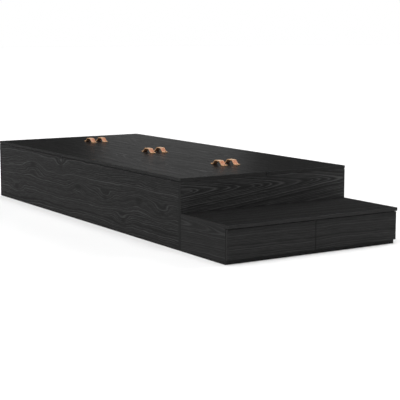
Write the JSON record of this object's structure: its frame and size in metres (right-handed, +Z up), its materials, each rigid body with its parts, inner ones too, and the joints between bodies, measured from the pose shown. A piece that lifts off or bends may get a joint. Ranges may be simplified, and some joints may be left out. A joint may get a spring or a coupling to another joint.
{
  "type": "platform bed with storage drawers",
  "caption": "Low black oak-finish platform bed with hinged storage lids, leather strap pulls, and a lower step across the foot end that holds push-open drawers.",
  "frame": {"origin": "centre of the whole bed's box, on the floor", "axes": "+Z up, +Y along the length towards the head, drawers open towards -Y, +X across the width to the right lids"},
  "size_m": [0.9, 2.367, 0.337],
  "materials": {
    "black_oak_board": "satin black oak-grain foil on board",
    "dark_inner_board": "matt black board",
    "drawer_box_board": "matt dark grey foil on board",
    "tan_leather": "satin tan leather",
    "copper_screw": "brushed copper plate",
    "black_steel": "satin black",
    "zinc_steel": "bright zinc plate",
    "grey_plastic": "matt moulded plastic"
  },
  "bodies": {
    "bed_base": {"side_panel_left": "black_oak_board", "step_side_left": "black_oak_board", "side_panel_right": "black_oak_board", "step_side_right": "black_oak_board", "foot_panel": "black_oak_board", "head_panel": "black_oak_board", "step_slab": "black_oak_board", "step_plinth": "black_oak_board", "divider_foot": "dark_inner_board", "divider_head": "dark_inner_board", "centre_beam": "dark_inner_board", "base_panels": "dark_inner_board", "base_cleats": "dark_inner_board", "step_partition": "dark_inner_board", "step_back": "dark_inner_board", "frame_hinge_leaves": "black_steel", "hinge_pins": "zinc_steel", "joining_bolts": "zinc_steel", "cabinet_runners": "zinc_steel", "latch_housings": "grey_plastic"},
    "lid_left_foot": {"lid_left_foot": "black_oak_board", "strap_left_foot": "tan_leather", "strap_screws_left_foot": "copper_screw", "lid_hinge_leaves_left_foot": "black_steel"},
    "lid_right_foot": {"lid_right_foot": "black_oak_board", "strap_right_foot": "tan_leather", "strap_screws_right_foot": "copper_screw", "lid_hinge_leaves_right_foot": "black_steel"},
    "lid_left_middle": {"lid_left_middle": "black_oak_board", "strap_left_middle": "tan_leather", "strap_screws_left_middle": "copper_screw", "lid_hinge_leaves_left_middle": "black_steel"},
    "lid_right_middle": {"lid_right_middle": "black_oak_board", "strap_right_middle": "tan_leather", "strap_screws_right_middle": "copper_screw", "lid_hinge_leaves_right_middle": "black_steel"},
    "lid_left_head": {"lid_left_head": "black_oak_board", "strap_left_head": "tan_leather", "strap_screws_left_head": "copper_screw", "lid_hinge_leaves_left_head": "black_steel"},
    "lid_right_head": {"lid_right_head": "black_oak_board", "strap_right_head": "tan_leather", "strap_screws_right_head": "copper_screw", "lid_hinge_leaves_right_head": "black_steel"},
    "drawer_left": {"drawer_left_front": "black_oak_board", "drawer_left_outer_side": "drawer_box_board", "drawer_left_inner_side": "drawer_box_board", "drawer_left_back": "drawer_box_board", "drawer_left_bottom": "drawer_box_board", "drawer_left_runners": "zinc_steel"},
    "middle_runners_left": {"middle_runners_left": "zinc_steel"},
    "latch_plunger_left": {"latch_plunger_left": "grey_plastic"},
    "drawer_right": {"drawer_right_front": "black_oak_board", "drawer_right_outer_side": "drawer_box_board", "drawer_right_inner_side": "drawer_box_board", "drawer_right_back": "drawer_box_board", "drawer_right_bottom": "drawer_box_board", "drawer_right_runners": "zinc_steel"},
    "middle_runners_right": {"middle_runners_right": "zinc_steel"},
    "latch_plunger_right": {"latch_plunger_right": "grey_plastic"}
  },
  "joints": [
    {"name": "lid_left_foot_hinge", "type": "hinge", "parent": "bed_base", "child": "lid_left_foot", "pos_m": [-0.447, -0.48317, 0.29975], "axis": [0, -1, 0], "range_deg": [0, 90]},
    {"name": "lid_right_foot_hinge", "type": "hinge", "parent": "bed_base", "child": "lid_right_foot", "pos_m": [0.447, -0.48317, 0.29975], "axis": [0, 1, 0], "range_deg": [0, 90]},
    {"name": "lid_left_middle_hinge", "type": "hinge", "parent": "bed_base", "child": "lid_left_middle", "pos_m": [-0.447, 0.1835, 0.29975], "axis": [0, -1, 0], "range_deg": [0, 90]},
    {"name": "lid_right_middle_hinge", "type": "hinge", "parent": "bed_base", "child": "lid_right_middle", "pos_m": [0.447, 0.1835, 0.29975], "axis": [0, 1, 0], "range_deg": [0, 90]},
    {"name": "lid_left_head_hinge", "type": "hinge", "parent": "bed_base", "child": "lid_left_head", "pos_m": [-0.447, 0.85017, 0.29975], "axis": [0, -1, 0], "range_deg": [0, 90]},
    {"name": "lid_right_head_hinge", "type": "hinge", "parent": "bed_base", "child": "lid_right_head", "pos_m": [0.447, 0.85017, 0.29975], "axis": [0, 1, 0], "range_deg": [0, 90]},
    {"name": "drawer_left_slide", "type": "slide", "parent": "bed_base", "child": "drawer_left", "axis": [0, -1, 0], "range_m": [0, 0.28]},
    {"name": "middle_runners_left_slide", "type": "slide", "parent": "bed_base", "child": "middle_runners_left", "axis": [0, -1, 0], "range_m": [0, 0.14]},
    {"name": "latch_plunger_left_push", "type": "slide", "parent": "bed_base", "child": "latch_plunger_left", "axis": [0, 1, 0], "range_m": [0, 0.0025], "stiffness_N_per_m": 150, "springref_m": -0.004},
    {"name": "drawer_right_slide", "type": "slide", "parent": "bed_base", "child": "drawer_right", "axis": [0, -1, 0], "range_m": [0, 0.28]},
    {"name": "middle_runners_right_slide", "type": "slide", "parent": "bed_base", "child": "middle_runners_right", "axis": [0, -1, 0], "range_m": [0, 0.14]},
    {"name": "latch_plunger_right_push", "type": "slide", "parent": "bed_base", "child": "latch_plunger_right", "axis": [0, 1, 0], "range_m": [0, 0.0025], "stiffness_N_per_m": 150, "springref_m": -0.004}
  ],
  "couplings": [
    {"joint": "middle_runners_left_slide", "follows": "drawer_left_slide", "ratio": 0.5},
    {"joint": "middle_runners_right_slide", "follows": "drawer_right_slide", "ratio": 0.5}
  ]
}
